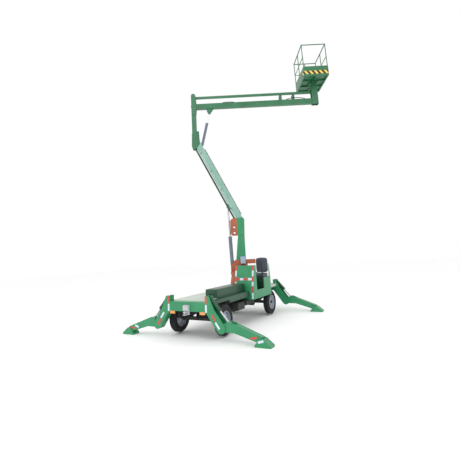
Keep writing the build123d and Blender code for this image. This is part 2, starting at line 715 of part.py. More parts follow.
def seat():
    """Cushion and backrest."""
    mid = (CAB_WALL_Y + CAB_OUTER) / 2
    front = SEAT_BASE_FRONT + SEAT_OVERHANG
    rear = front - SEAT_LENGTH
    cushion = block(rear, front, mid - SEAT_WIDTH / 2, mid + SEAT_WIDTH / 2, SEAT_TOP - SEAT_THICK, SEAT_TOP)
    cushion = fillet(cushion.edges().filter_by(Axis.Z), CUSHION_ROUND)
    back_rear = rear - SEAT_BACK_SET
    back = block(back_rear, back_rear + SEAT_BACK_THICK, mid - SEAT_WIDTH / 2, mid + SEAT_WIDTH / 2,
                 SEAT_TOP + LOOSE_FIT, SEAT_BACK_TOP)
    back = fillet(back.edges().filter_by(Axis.X), BACK_ROUND)
    return Compound(children=[cushion, back])


def driver_controls():
    """Grab post, hand rail and the console stalk in the footwell."""
    y = CAB_OUTER - CAB_SHEET - RAIL_TUBE
    x = STEP_REAR + RAIL_TUBE
    post = rod_z(RAIL_TUBE, CAB_FLOOR, GRAB_POST_TOP, x, y)
    post += rod_x(RAIL_TUBE * 0.7, x - 130, COWL_BACK - 60, y, CONSOLE_TOP)
    stalk_x = COWL_BACK - STALK_SETBACK
    stalk_y = (CAB_WALL_Y + CAB_OUTER) / 2
    stalk = rod_z(RAIL_TUBE, CAB_FLOOR, CONSOLE_TOP, stalk_x, stalk_y)
    stalk += rod_y(RAIL_TUBE * 0.8, stalk_y - HANDLEBAR_HALF, stalk_y + HANDLEBAR_HALF, stalk_x, CONSOLE_TOP)
    return Compound(children=[post, stalk])


def hood():
    """Sheet housing of the power pack, open below."""
    outer = block(HOOD_REAR, HOOD_FRONT, HOOD_RIGHT, HOOD_LEFT, BEAM_TOP, HOOD_TOP)
    top = outer.faces().sort_by(Axis.Z)[-1]
    outer = fillet(top.edges(), HOOD_ROUND)
    sheet = HOOD_SHEET
    room = block(HOOD_REAR + sheet, HOOD_FRONT - sheet, HOOD_RIGHT + sheet, HOOD_LEFT - sheet,
                 BEAM_TOP, HOOD_TOP - sheet)
    room = fillet(room.faces().sort_by(Axis.Z)[-1].edges(), HOOD_ROUND - sheet)
    return outer - room


def power_block():
    """Engine and batteries under the hood, one plain block."""
    gap = POWER_BLOCK_GAP
    return block(HOOD_REAR + gap, HOOD_FRONT - gap, HOOD_RIGHT + gap, HOOD_LEFT - gap, BEAM_TOP, HOOD_TOP - gap)


def pedestal():
    """Tapered pedestal with the fixed half of the slewing ring."""
    height = PEDESTAL_Z - BEAM_TOP
    cone = Pos(SLEW_X, 0, BEAM_TOP + height / 2) * Cone(PEDESTAL_BASE, PEDESTAL_TOP, height)
    ring = rod_z(RING_RADIUS, PEDESTAL_Z, PEDESTAL_Z + RING_HEIGHT, SLEW_X, 0)
    return cone + ring


def boom_place(shape):
    """Move a piece drawn in the boom plane, slewing axis at the origin, to its place."""
    return Pos(SLEW_X, 0, 0) * Rot(0, 0, SLEW_ANGLE) * shape


def slab_sz(points, t0, t1):
    return slab_xz(points, t0, t1)


def paired(t, thickness):
    """The two spans of a pair of plates whose outer faces lie at plus and minus t."""
    return ((t - thickness, t), (-t, thickness - t))


def turret():
    """Orange turret: turning plate, side cheeks round the mast's foot, arm and head cheeks."""
    base = PEDESTAL_Z + RING_HEIGHT + LOOSE_FIT
    top = base + TURRET_PLATE
    body = rod_z(RING_RADIUS, base, top, 0, 0)
    inner = MAST_WIDTH / 2
    outline = [(TURRET_LEFT + 60, top), (TURRET_LEFT + 60, LOWER_CYL_BASE[1] + 60),
               (TURRET_LEFT + 110, TURRET_TOP - 100), (MAST_FOOT_LEFT + 20, TURRET_TOP),
               (MAST_RIGHT + 30, TURRET_TOP), (MAST_RIGHT + 60, top)]
    for t0, t1 in paired(inner + HEAD_CHEEK, HEAD_CHEEK):
        body += slab_sz(outline, t0, t1)
    body += rod_y(CYL_EYE_PIN, -inner - HEAD_CHEEK, inner + HEAD_CHEEK, *LOWER_CYL_BASE)
    near = MAST_RIGHT + 14
    arm = block(near, TURRET_ARM, -inner - 2, inner + 2, TURRET_ARM_LOW, TURRET_TOP)
    arm -= block(near, TURRET_ARM, 8 - inner, inner - 8, TURRET_ARM_LOW + 8, TURRET_TOP - 8)
    body += arm
    return body


def mast():
    """Tapered hollow column with the two head cheeks that hold the boom pin and the link pin."""
    base = PEDESTAL_Z + RING_HEIGHT + LOOSE_FIT + TURRET_PLATE
    half = MAST_WIDTH / 2
    wall = MAST_WALL

    def outline(inset):
        return [(MAST_FOOT_LEFT + inset, base + inset), (MAST_RIGHT - inset, base + inset),
                (MAST_RIGHT + 8 - inset, MAST_TOP - inset), (MAST_TOP_LEFT + inset, MAST_TOP - inset)]

    column = slab_sz(outline(0), -half, half) - slab_sz(outline(wall), -half + wall, half - wall)
    cheek = [(HEAD_SPLIT, HEAD_BOTTOM), (HEAD_SPLIT, HEAD_TOP - 10), (HEAD_RIGHT - 40, HEAD_TOP),
             (HEAD_RIGHT, HEAD_TOP - 60), (HEAD_RIGHT - 22, HEAD_BOTTOM)]
    for t0, t1 in paired(half + HEAD_CHEEK, HEAD_CHEEK):
        column += slab_sz(cheek, t0, t1)
    out = half + HEAD_CHEEK + PIN_STICK_OUT
    column += rod_y(BOOM_PIN, -out, out, *P1)
    column += rod_y(LINK_PIN, -out, out, P1[0] + LINK_OFFSET[0], P1[1] + LINK_OFFSET[1])
    return column


def mast_head():
    """Two orange head plates behind the head cheeks, each with its two holes."""
    inner = MAST_WIDTH / 2
    outline = [(HEAD_LEFT, HEAD_BOTTOM + 60), (HEAD_LEFT, HEAD_TOP - 80), (HEAD_LEFT + 60, HEAD_TOP - 20),
               (HEAD_SPLIT, HEAD_TOP - 10), (HEAD_SPLIT, HEAD_BOTTOM), (HEAD_LEFT + 50, HEAD_BOTTOM)]
    plates = []
    for t0, t1 in paired(inner + HEAD_CHEEK, HEAD_CHEEK):
        plate = slab_sz(outline, t0, t1)
        for z in HEAD_HOLE_ZS:
            plate -= rod_y(HEAD_HOLE_RADIUS, t0, t1, HEAD_HOLE_S, z)
        plates.append(plate)
    return Compound(children=plates)


def control_box():
    """Ground control box on the side of the mast."""
    face = -MAST_WIDTH / 2 - HEAD_CHEEK
    box = block(CONTROL_S - CONTROL_WIDTH / 2, CONTROL_S + CONTROL_WIDTH / 2, face - CONTROL_DEPTH, face,
                CONTROL_Z - CONTROL_HEIGHT / 2, CONTROL_Z + CONTROL_HEIGHT / 2)
    return fillet(box.edges().filter_by(Axis.Y), CONTROL_ROUND)


def point_at(start, angle, length):
    return (start[0] + length * cos(radians(angle)), start[1] + length * sin(radians(angle)))


P2 = point_at(P1, LOWER_ANGLE, LOWER_LENGTH)
P3 = (P2[0] - RISER_SETBACK, P2[1] + RISER_HEIGHT)
P4 = (P3[0] + UPPER_LENGTH, P3[1])


def lower_boom():
    """Hollow box boom from P1 to the fork, with the ram lug below it."""
    half = LOWER_WIDTH / 2
    radius = LOWER_DEPTH / 2
    end = LOWER_LENGTH - LOWER_FORK
    body = block(0, end, -half, half, -radius, radius) + rod_y(radius, -half, half, 0, 0)
    wall = LOWER_WALL
    body -= block(radius + BOOM_END_WALL, end - BOOM_END_WALL, -half + wall, half - wall, -radius + wall,
                  radius - wall)
    body -= rod_y(BOOM_PIN + RUN_FIT, -half, half, 0, 0)
    lug_angle = degrees(atan2(LOWER_CYL_LUG[1], LOWER_CYL_LUG[0])) - LOWER_ANGLE
    reach = hypot(*LOWER_CYL_LUG)
    lx, lz = reach * cos(radians(lug_angle)), reach * sin(radians(lug_angle))
    for t0, t1 in paired(LUG_HALF, LUG_PLATE):
        ear = slab_sz([(lx - 110, radius - 1), (lx + 110, radius - 1), (lx + LUG_RADIUS, lz), (lx - LUG_RADIUS, lz)],
                      t0, t1)
        body += ear + rod_y(LUG_RADIUS, t0, t1, lx, lz)
    return Pos(P1[0], 0, P1[1]) * aim(LOWER_ANGLE) * body


def lower_boom_fork():
    """Two plates on the end of the lower boom; the upper cylinder folds in between them."""
    radius = LOWER_DEPTH / 2
    plates = []
    for t0, t1 in paired(LOWER_WIDTH / 2, LOWER_FORK_PLATE):
        plate = block(LOWER_LENGTH - LOWER_FORK, LOWER_LENGTH, t0, t1, -radius, radius)
        plate += rod_y(radius, t0, t1, LOWER_LENGTH, 0)
        plate -= rod_y(BOOM_PIN + RUN_FIT, t0, t1, LOWER_LENGTH, 0)
        plates.append(Pos(P1[0], 0, P1[1]) * aim(LOWER_ANGLE) * plate)
    return Compound(children=plates)


def lower_link():
    """Pair of flat bars below the lower boom that keep the riser upright."""
    link = None
    for t0, t1 in paired(LINK_HALF, LINK_BAR):
        flat = block(0, LOWER_LENGTH, t0, t1, -LINK_DEPTH / 2, LINK_DEPTH / 2)
        for x in (0, LOWER_LENGTH):
            flat += rod_y(LINK_EYE, t0, t1, x, 0)
        link = flat if link is None else link + flat
    for x in (0, LOWER_LENGTH):
        link += rod_y(LINK_PIN + LINK_SLEEVE, -LINK_HALF, LINK_HALF, x, 0)
    for x in (0, LOWER_LENGTH):
        link -= rod_y(LINK_PIN + RUN_FIT, -LINK_HALF, LINK_HALF, x, 0)
    return Pos(P1[0] + LINK_OFFSET[0], 0, P1[1] + LINK_OFFSET[1]) * aim(LOWER_ANGLE) * link


def riser():
    """Upright link between the two booms, with its foot and head cheeks and the ram's base lug."""
    half = RISER_WIDTH / 2
    left = P3[0] - RISER_DEPTH / 2
    right = P3[0] + RISER_DEPTH / 2
    low = P2[1] + RISER_TUBE_RISE
    high = P3[1] - UPPER_DEPTH / 2 - 60
    wall = RISER_WALL
    body = block(left, right, -half, half, low, high)
    body -= block(left + wall, right - wall, -half + wall, half - wall, low + wall, high - wall)
    foot_pin = (P2[0] + LINK_OFFSET[0], P2[1] + LINK_OFFSET[1])
    foot = [(left - 10, low + 120), (right + 10, low + 120), (P2[0] + 105, P2[1] + 40), (P2[0] + 95, P2[1] - 80),
            (foot_pin[0] + 55, P2[1] - RISER_FOOT_DROP), (foot_pin[0] - 45, P2[1] - RISER_FOOT_DROP),
            (left - 25, foot_pin[1])]
    head_top = P3[1] + RISER_HEAD_RISE
    head = [(left, high - 160), (right, high - 160), (right + 30, P3[1] + 40), (right, head_top - 60),
            (right - 40, head_top), (left + 30, head_top), (left, head_top - 60)]
    for t0, t1 in paired(half + RISER_CHEEK, RISER_CHEEK):
        body += slab_sz(foot, t0, t1)
        body += slab_sz(head, t0, t1)
    out = half + RISER_CHEEK + PIN_STICK_OUT
    body += rod_y(BOOM_PIN, -out, out, *P2)
    body += rod_y(BOOM_PIN, -out, out, *P3)
    body += rod_y(LINK_PIN, -out, out, *foot_pin)
    body += rod_y(LINK_PIN, -out, out, P3[0], P3[1] + UPPER_LINK_RISE)
    bx, bz = P2[0] + UPPER_CYL_BASE[0], P2[1] + UPPER_CYL_BASE[1]
    for t0, t1 in paired(LUG_HALF, LUG_PLATE):
        ear = slab_sz([(right, low + 10), (right, low + 200), (right + 70, low + 200), (bx - 62, bz + 60),
                       (bx - 20, bz + 38), (bx + 36, bz + 12), (bx + 36, bz - 20), (bx + 10, bz - 38),
                       (bx - 30, bz - 36), (bx - 90, bz + 40), (right + 40, low + 10)], t0, t1)
        body += ear
    body += rod_y(CYL_EYE_PIN, -LUG_HALF, LUG_HALF, bx, bz)
    return body


def upper_boom():
    """Hollow box boom from P3 to P4 with the ram lug below and the link guides above."""
    half = UPPER_WIDTH / 2
    radius = UPPER_DEPTH / 2
    wall = UPPER_WALL
    body = bar(UPPER_LENGTH, UPPER_DEPTH, UPPER_WIDTH, radius)
    start = radius + BOOM_END_WALL
    body -= block(start, UPPER_LENGTH - start, -half + wall, half - wall, -radius + wall, radius - wall)
    for x in (0, UPPER_LENGTH):
        body -= rod_y(BOOM_PIN + RUN_FIT, -half, half, x, 0)
    lx, lz = UPPER_CYL_LUG
    for t0, t1 in paired(LUG_HALF, LUG_PLATE):
        ear = slab_sz([(lx - 100, 1 - radius), (lx + 150, 1 - radius), (lx + LUG_RADIUS, lz), (lx - LUG_RADIUS, lz)],
                      t0, t1)
        body += ear + rod_y(LUG_RADIUS, t0, t1, lx, lz)
    guide = UPPER_LINK_WIDTH / 2 + GUIDE_PLATE + 8
    for s in GUIDE_SS:
        x = s - P3[0]
        for t0, t1 in paired(guide + GUIDE_PLATE, GUIDE_PLATE):
            body += block(x - GUIDE_LENGTH / 2, x + GUIDE_LENGTH / 2, t0, t1, radius - 1, radius + GUIDE_HEIGHT)
    return Pos(P3[0], 0, P3[1]) * body


def upper_link():
    """Hollow bar above the upper boom that keeps the basket level."""
    half = UPPER_LINK_WIDTH / 2
    radius = UPPER_LINK_DEPTH / 2
    wall = UPPER_LINK_WALL
    body = bar(UPPER_LENGTH, UPPER_LINK_DEPTH, UPPER_LINK_WIDTH, radius)
    start = radius + BOOM_END_WALL
    body -= block(start, UPPER_LENGTH - start, -half + wall, half - wall, -radius + wall, radius - wall)
    for x in (0, UPPER_LENGTH):
        body += rod_y(radius, -UPPER_WIDTH / 2, UPPER_WIDTH / 2, x, 0)
        body -= rod_y(LINK_PIN + RUN_FIT, -UPPER_WIDTH / 2, UPPER_WIDTH / 2, x, 0)
    return Pos(P3[0], 0, P3[1] + UPPER_LINK_RISE) * body


def basket_post():
    """Post open towards the boom, with the flange that the basket stands on."""
    half = UPPER_WIDTH / 2 + SIDE_GAP
    left = P4[0] - POST_DEPTH / 2
    right = P4[0] + POST_DEPTH / 2
    low = P4[1] - POST_DROP
    high = P4[1] + POST_RISE
    body = block(left, right, -half - POST_CHEEK, half + POST_CHEEK, low, high)
    body -= block(left, right - POST_CHEEK, -half, half, low, P4[1] + POST_OPEN)
    body -= block(left + POST_CHEEK, right - POST_CHEEK, -half, half, P4[1] + POST_OPEN + POST_CHEEK,
                  high - POST_CHEEK)
    body += block(P4[0] - POST_FLANGE_HALF, P4[0] + POST_FLANGE_HALF, -POST_FLANGE_HALF, POST_FLANGE_HALF,
                  high - POST_FLANGE, high)
    out = half + POST_CHEEK
    body += rod_y(BOOM_PIN, -out, out, *P4)
    body += rod_y(LINK_PIN, -out, out, P4[0], P4[1] + UPPER_LINK_RISE)
    return body


def boom_cylinder(base, lug, barrel, radius, rod, rod_radius):
    """Barrel and ram between two points of the boom plane."""
    length = hypot(lug[0] - base[0], lug[1] - base[1])
    angle = degrees(atan2(lug[1] - base[1], lug[0] - base[0]))
    pair = cylinder_pair(length, barrel, radius, rod, rod_radius, CYL_EYE_RADIUS * radius / CYL_RADIUS,
                         CYL_EYE_WIDTH, 2 * (LUG_HALF - LUG_PLATE - LOOSE_FIT), CYL_EYE_PIN)
    return [Pos(base[0], 0, base[1]) * aim(angle) * piece for piece in pair]


def basket_floor():
    """Floor sheet on its frame of bearers."""
    s0 = P4[0] + BASKET_OFFSET - BASKET_DEPTH / 2
    s1 = s0 + BASKET_DEPTH
    half = BASKET_LENGTH / 2
    low = P4[1] + POST_RISE
    top = low + BASKET_FRAME
    floor = block(s0, s1, -half, half, top, top + BASKET_SHEET)
    edge = BASKET_MAT_EDGE
    floor += block(s0 + edge, s1 - edge, edge - half, half - edge, top, top + BASKET_SHEET + BASKET_MAT)
    bars = [block(s0, s1, t - BEARER_HALF, t + BEARER_HALF, low, top)
            for t in (BEARER_HALF - half, -half / 3, half / 3, half - BEARER_HALF)]
    bars += [block(s - BEARER_HALF, s + BEARER_HALF, -half, half, low, top)
             for s in (s0 + BEARER_HALF, P4[0] + BASKET_OFFSET, s1 - BEARER_HALF)]
    for piece in bars:
        floor += piece
    return floor


def basket_cage():
    """Guard rails, posts and kick sheets, open at the top and above the kick sheet on the near side."""
    low = P4[1] + POST_RISE + BASKET_FRAME + BASKET_SHEET
    top = low + BASKET_HEIGHT - BASKET_FRAME
    s_mid = P4[0] + BASKET_OFFSET
    inset = BASKET_TUBE - 1
    s_edges = (s_mid - BASKET_DEPTH / 2 + inset, s_mid + BASKET_DEPTH / 2 - inset)
    near, far = inset - BASKET_LENGTH / 2, BASKET_LENGTH / 2 - inset
    half_s, half_t = BASKET_DEPTH / 2, BASKET_LENGTH / 2
    cage = block(s_mid - half_s, s_mid + half_s, -half_t, half_t, low, low + BASKET_KICK)
    cage -= block(s_mid - half_s + BASKET_SHEET, s_mid + half_s - BASKET_SHEET, BASKET_SHEET - half_t,
                  half_t - BASKET_SHEET, low, low + BASKET_KICK)
    for s in s_edges:
        for t in (near, 0, far):
            cage += rod_z(BASKET_POST, low, top, s, t)
        cage += rod_y(BASKET_TUBE, near - BASKET_TUBE, far + BASKET_TUBE, s, top)
        cage += rod_y(BASKET_MIDDLE, near, far, s, low + BASKET_MID_RAIL)
    for t in (near, far):
        cage += rod_x(BASKET_SIDE_TUBE, *s_edges, t, top)
    cage += rod_x(BASKET_MIDDLE - 1, *s_edges, far, low + BASKET_MID_RAIL)
    cage += rod_z(BASKET_POST, low, top, s_mid, far)
    return cage


def build():
    """Every node by name, in the machine frame."""
    nodes = {
        "underframe": underframe(),
        "cross_bearers": cross_bearers(),
        "front_outrigger_beam": outrigger_beam(FRONT_FACE_X),
        "rear_outrigger_beam": outrigger_beam(REAR_FACE_X),
        "deck": deck(),
        "left_fender": left_fender(),
        "front_axle": front_axle(),
        "rear_axle": rear_axle(),
        "hitch": hitch(),
        "marker_lamps": marker_lamps(),
        "side_tanks": tanks(),
        "hood": hood(),
        "power_block": power_block(),
        "cowl": cowl(),
        "cab_side_panel": side_panel(),
        "cab_tub": cab_tub(),
        "seat": seat(),
        "driver_controls": driver_controls(),
        "pedestal": pedestal(),
    }
    tyre, rim = wheel_pieces()
    for name, x, side in (("front_left", 0, 1), ("front_right", 0, -1),
                          ("rear_left", -WHEELBASE, 1), ("rear_right", -WHEELBASE, -1)):
        place = Pos(x, side * TRACK / 2, AXLE_Z)
        turn = Rot(0, 0, 0 if side > 0 else 180)
        nodes["tyre_" + name] = place * turn * tyre
        nodes["rim_" + name] = place * turn * rim
    left = knuckle()
    nodes["knuckle_left"] = left
    nodes["knuckle_right"] = mirror_y(left)
    for end, face in (("front", FRONT_FACE_X), ("rear", REAR_FACE_X)):
        x_mid = face - BEAM_DEPTH / 2
        left_leg = leg(x_mid)
        barrel, ram = leg_cylinder(x_mid)
        for kind, piece in (("outrigger_leg", left_leg), ("outrigger_barrel", barrel), ("outrigger_ram", ram)):
            nodes[kind + "_" + end + "_left"] = piece
            nodes[kind + "_" + end + "_right"] = mirror_y(piece)
    barrel, ram = boom_cylinder(LOWER_CYL_BASE, (P1[0] + LOWER_CYL_LUG[0], P1[1] + LOWER_CYL_LUG[1]),
                                LOWER_CYL_BARREL, CYL_RADIUS, LOWER_CYL_ROD, CYL_ROD_RADIUS)
    upper_base = (P2[0] + UPPER_CYL_BASE[0], P2[1] + UPPER_CYL_BASE[1])
    upper_lug = (P3[0] + UPPER_CYL_LUG[0], P3[1] + UPPER_CYL_LUG[1])
    upper_barrel, upper_ram = boom_cylinder(upper_base, upper_lug, UPPER_CYL_BARREL, UPPER_CYL_RADIUS,
                                            UPPER_CYL_ROD, UPPER_CYL_ROD_RADIUS)
    boom_pieces = {
        "turret": turret(),
        "mast": mast(),
        "mast_head": mast_head(),
        "control_box": control_box(),
        "lower_boom": lower_boom(),
        "lower_boom_fork": lower_boom_fork(),
        "lower_link": lower_link(),
        "lower_barrel": barrel,
        "lower_ram": ram,
        "riser": riser(),
        "upper_boom": upper_boom(),
        "upper_link": upper_link(),
        "upper_barrel": upper_barrel,
        "upper_ram": upper_ram,
        "basket_post": basket_post(),
        "basket_floor": basket_floor(),
        "basket_cage": basket_cage(),
    }
    for name, piece in boom_pieces.items():
        nodes[name] = boom_place(piece)
    return nodes


def main():
    os.makedirs("parts", exist_ok=True)
    for name, shape in build().items():
        placed = Pos(-PIN_X, 0, -PIN_Z) * shape
        export_step(placed, os.path.join("parts", name + ".step"))


if __name__ == "__main__":
    main()
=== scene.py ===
import json
import math

import bmesh
import bpy
from mathutils import Matrix, Vector


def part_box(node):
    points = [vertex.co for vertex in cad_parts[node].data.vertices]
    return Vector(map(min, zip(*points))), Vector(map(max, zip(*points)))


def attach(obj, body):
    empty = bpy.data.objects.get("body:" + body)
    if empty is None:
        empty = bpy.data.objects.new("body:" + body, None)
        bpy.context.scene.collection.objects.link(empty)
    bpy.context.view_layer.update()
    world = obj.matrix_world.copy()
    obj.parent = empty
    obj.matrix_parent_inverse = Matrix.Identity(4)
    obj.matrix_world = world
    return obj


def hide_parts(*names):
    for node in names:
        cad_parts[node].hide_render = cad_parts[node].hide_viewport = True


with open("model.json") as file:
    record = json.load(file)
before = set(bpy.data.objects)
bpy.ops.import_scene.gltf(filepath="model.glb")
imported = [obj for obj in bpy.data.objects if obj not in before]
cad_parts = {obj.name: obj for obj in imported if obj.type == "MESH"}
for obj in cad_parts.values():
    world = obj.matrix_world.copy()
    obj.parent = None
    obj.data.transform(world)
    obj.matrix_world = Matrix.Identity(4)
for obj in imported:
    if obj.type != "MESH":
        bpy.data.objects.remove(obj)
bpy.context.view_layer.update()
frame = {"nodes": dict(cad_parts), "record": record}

# Row frame: origin at the towing pin, lengths in metres.
PIN_X = 0.655
PIN_Z = 0.5925
GROUND = -PIN_Z
SLEW_X = -2.25
SLEW = math.radians(120.0)
AXLE_Z = 0.370
WHEELBASE = 2.880
HALF_TRACK = 0.650
TYRE_RADIUS = 0.340
TYRE_HALF = 0.0825

# Camera, solved from the wheels, the rims, the front beam and three feet.
CAMERA_AT = (7.170, 4.892, 1.916)
CAMERA_YAW = 209.896
CAMERA_PITCH = 11.757
CAMERA_ROLL = 2.982
CAMERA_LENS = 25.783
CAMERA_SHIFT_X = 0.0199
CAMERA_SHIFT_Y = -0.0980


def at(x, y, z):
    """Row frame point from the machine's own lengths, X from the front axle and Z from the ground."""
    return Vector((x - PIN_X, y, z - PIN_Z))


def boom_at(s, t, z):
    """Row frame point from the boom plane, S along the boom and T across it."""
    x = SLEW_X + s * math.cos(SLEW) - t * math.sin(SLEW)
    y = s * math.sin(SLEW) + t * math.cos(SLEW)
    return at(x, y, z)


def shader(name):
    """New material, its node tree and its surface node."""
    material = bpy.data.materials.new(name)
    material.use_nodes = True
    tree = material.node_tree
    return material, tree, tree.nodes["Principled BSDF"]


def linear(channel):
    """Linear value of one display channel from 0 to 1."""
    return ((channel + 0.055) / 1.055) ** 2.4 if channel > 0.04045 else channel / 12.92


def colour(red, green, blue):
    """Linear colour from display values of 0 to 255."""
    return tuple(linear(v / 255) for v in (red, green, blue)) + (1.0,)


# What all surfaces share: clouds, the spread of the roughness, and a fine grain.
CLOUD_DETAIL = 8.0
CLOUD_ROUGHNESS = 0.6
RAMP_START = 0.35
RAMP_END = 0.75
SMOOTHER_BY = 0.08
ROUGHER_BY = 0.12
LEAST_ROUGHNESS = 0.05
GRAIN_DETAIL = 4.0
GRAIN_DEPTH = 0.01


def finish(name, base, worn, rough, metal=0.0, scale=3.0, bump=0.02, coat=0.0, grain=60.0):
    """Surface with cloudy colour changes, uneven roughness and a fine grain."""
    material, tree, surface = shader(name)
    place = tree.nodes.new("ShaderNodeTexCoord")
    clouds = tree.nodes.new("ShaderNodeTexNoise")
    clouds.inputs["Scale"].default_value = scale
    clouds.inputs["Detail"].default_value = CLOUD_DETAIL
    clouds.inputs["Roughness"].default_value = CLOUD_ROUGHNESS
    ramp = tree.nodes.new("ShaderNodeValToRGB")
    ramp.color_ramp.elements[0].position = RAMP_START
    ramp.color_ramp.elements[1].position = RAMP_END
    ramp.color_ramp.elements[0].color = base
    ramp.color_ramp.elements[1].color = worn
    tree.links.new(place.outputs["Object"], clouds.inputs["Vector"])
    tree.links.new(clouds.outputs["Fac"], ramp.inputs["Fac"])
    tree.links.new(ramp.outputs["Color"], surface.inputs["Base Color"])
    spread = tree.nodes.new("ShaderNodeMapRange")
    spread.inputs["To Min"].default_value = max(LEAST_ROUGHNESS, rough - SMOOTHER_BY)
    spread.inputs["To Max"].default_value = min(1.0, rough + ROUGHER_BY)
    tree.links.new(clouds.outputs["Fac"], spread.inputs["Value"])
    tree.links.new(spread.outputs["Result"], surface.inputs["Roughness"])
    fine = tree.nodes.new("ShaderNodeTexNoise")
    fine.inputs["Scale"].default_value = grain
    fine.inputs["Detail"].default_value = GRAIN_DETAIL
    relief = tree.nodes.new("ShaderNodeBump")
    relief.inputs["Strength"].default_value = bump
    relief.inputs["Distance"].default_value = GRAIN_DEPTH
    tree.links.new(place.outputs["Object"], fine.inputs["Vector"])
    tree.links.new(fine.outputs["Fac"], relief.inputs["Height"])
    tree.links.new(relief.outputs["Normal"], surface.inputs["Normal"])
    surface.inputs["Metallic"].default_value = metal
    surface.inputs["Coat Weight"].default_value = coat
    return material


LOOKS = {
    "green_paint": finish("green_paint", colour(38, 132, 86), colour(52, 146, 98), 0.38, coat=0.15),
    "boom_green": finish("boom_green", colour(118, 164, 148), colour(142, 182, 168), 0.42, coat=0.1),
    "dark_green": finish("dark_green", colour(20, 66, 44), colour(28, 82, 56), 0.4, coat=0.15),
    "deep_green": finish("deep_green", colour(36, 100, 64), colour(48, 116, 78), 0.4, coat=0.15),
    "orange_paint": finish("orange_paint", colour(176, 94, 62), colour(150, 78, 54), 0.5, scale=6.0),
    "frame_black": finish("frame_black", colour(30, 34, 34), colour(52, 54, 52), 0.6, scale=6.0, bump=0.05),
    "light_grey_paint": finish("light_grey_paint", colour(196, 200, 204), colour(170, 174, 178), 0.45),
    "tyre_rubber": finish("tyre_rubber", colour(26, 27, 30), colour(40, 41, 43), 0.82, scale=8.0, bump=0.1),
    "rim_silver": finish("rim_silver", colour(188, 194, 206), colour(168, 174, 186), 0.36, metal=0.35),
    "cylinder_paint": finish("cylinder_paint", colour(92, 102, 118), colour(112, 120, 134), 0.4),
    "chrome_rod": finish("chrome_rod", colour(214, 216, 220), colour(200, 202, 208), 0.14, metal=1.0,
                         bump=0.0),
    "seat_vinyl": finish("seat_vinyl", colour(66, 72, 84), colour(82, 88, 98), 0.6, bump=0.15, grain=180.0),
    "lamp_amber": finish("lamp_amber", colour(226, 150, 84), colour(238, 170, 104), 0.2, coat=0.4),
    "box_grey": finish("box_grey", colour(150, 172, 190), colour(168, 188, 204), 0.45),
    "deck_pale": finish("deck_pale", colour(186, 196, 184), colour(206, 214, 204), 0.55, scale=2.0),
}
TAPE_RED = finish("tape_red", colour(196, 66, 62), colour(210, 84, 78), 0.35, grain=240.0, bump=0.06)
TAPE_WHITE = finish("tape_white", colour(206, 220, 230), colour(220, 230, 238), 0.35, grain=240.0, bump=0.06)
WARN_YELLOW = finish("warn_yellow", colour(236, 204, 96), colour(226, 190, 84), 0.45)
WARN_BLACK = finish("warn_black", colour(28, 28, 26), colour(38, 38, 36), 0.5)
HOSE_BLACK = finish("hose_black", colour(24, 25, 27), colour(40, 41, 43), 0.55, grain=300.0, bump=0.1)
# Pale hose colour; on the lower boom it also paints the highlight along the boom's lower edge.
HOSE_PALE_HIGHLIGHT = finish("hose_pale_highlight", colour(190, 204, 198), colour(206, 216, 210), 0.5)
STEEL = finish("steel", colour(150, 152, 154), colour(120, 122, 124), 0.35, metal=0.9)

# Small bevel on the edges of every solid but the tyres and rims.
EDGE_WIDTH = 0.0022
EDGE_SEGMENTS = 2
EDGE_ANGLE = 40

for record_part in frame["record"]["subparts"]:
    node = frame["nodes"][record_part["node"]]
    node.data.materials.clear()
    node.data.materials.append(LOOKS[record_part["material_slot"]])
    if not record_part["node"].startswith(("tyre_", "rim_")):
        edge = node.modifiers.new("edge", "BEVEL")
        edge.width = EDGE_WIDTH
        edge.segments = EDGE_SEGMENTS
        edge.limit_method = "ANGLE"
        edge.angle_limit = math.radians(EDGE_ANGLE)


def mesh_object(name, verts, faces, material, body):
    """Mesh piece that rides on a body."""
    data = bpy.data.meshes.new(name)
    data.from_pydata([tuple(v) for v in verts], [], faces)
    data.update()
    obj = bpy.data.objects.new(name, data)
    bpy.context.collection.objects.link(obj)
    data.materials.append(material)
    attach(obj, body)
    return obj


def box_mesh(verts, faces, corners):
    """Adds a six-sided piece given by its eight corners, four below and four above."""
    base = len(verts)
    verts += corners
    for face in ((0, 3, 2, 1), (4, 5, 6, 7), (0, 1, 5, 4), (1, 2, 6, 5), (2, 3, 7, 6), (3, 0, 4, 7)):
        faces.append(tuple(base + i for i in face))


def plate(name, centre, along, across, normal, length, width, thick, material, body, slot):
    """Thin plate that lies on a surface."""
    a, b, n = Vector(along).normalized(), Vector(across).normalized(), Vector(normal).normalized()
    signs = ((-1, -1), (1, -1), (1, 1), (-1, 1))
    low = [centre + a * (i * length / 2) + b * (j * width / 2) for i, j in signs]
    verts, faces = [], []
    box_mesh(verts, faces, low + [v + n * thick for v in low])
    return mesh_object(name, verts, faces, material, body)


TUBE_ROUNDING = 3
TUBE_STEPS = 6


def tube(name, points, radius, material, body, smooth=True):
    """Hose or bar through points."""
    curve = bpy.data.curves.new(name, "CURVE")
    curve.dimensions = "3D"
    curve.bevel_depth = radius
    curve.bevel_resolution = TUBE_ROUNDING
    curve.use_fill_caps = True
    spline = curve.splines.new("NURBS" if smooth else "POLY")
    spline.points.add(len(points) - 1)
    for knot, point in zip(spline.points, points):
        knot.co = (*point, 1.0)
    if smooth:
        spline.order_u = min(4, len(points))
        spline.use_endpoint_u = True
        spline.resolution_u = TUBE_STEPS
    obj = bpy.data.objects.new(name, curve)
    bpy.context.collection.objects.link(obj)
    curve.materials.append(material)
    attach(obj, body)
    return obj


